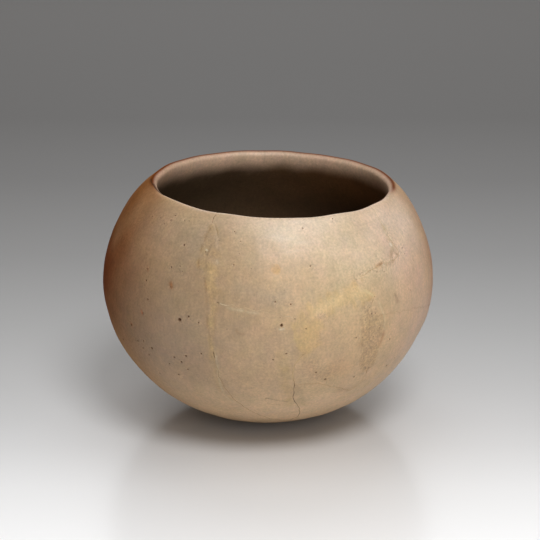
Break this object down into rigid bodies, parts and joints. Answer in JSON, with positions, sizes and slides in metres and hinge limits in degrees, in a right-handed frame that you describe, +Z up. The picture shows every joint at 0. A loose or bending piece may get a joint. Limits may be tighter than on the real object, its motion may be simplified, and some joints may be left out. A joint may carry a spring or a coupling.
{
  "type": "pottery bowl",
  "caption": "Round, hand-built pottery bowl with an in-curved shoulder and an open mouth, mended from sherds with plaster fills.",
  "frame": {"origin": "on the resting surface, under the middle of the bowl's outline", "axes": "+Z up through the mouth, -Y towards the mended front, +X to the right of the front, which is the way that the bowl leans"},
  "size_m": [0.1659, 0.166, 0.1215],
  "materials": {
    "burnished_clay": "low-fired buff earthenware, burnished to a low sheen, smoke-darkened inside",
    "patch_plaster": "matt yellow-toned gypsum plaster, rubbed smooth",
    "seam_plaster": "matt brown-toned gypsum plaster, smeared over a crack"
  },
  "bodies": {
    "root": {"body_sherd": "burnished_clay", "rim_sherd": "burnished_clay", "lower_left_sherd": "burnished_clay", "lower_right_sherd": "burnished_clay", "plaster_patch": "patch_plaster", "left_seam_fill": "seam_plaster", "right_seam_fill": "seam_plaster", "spot_fill": "patch_plaster"}
  },
  "joints": []
}
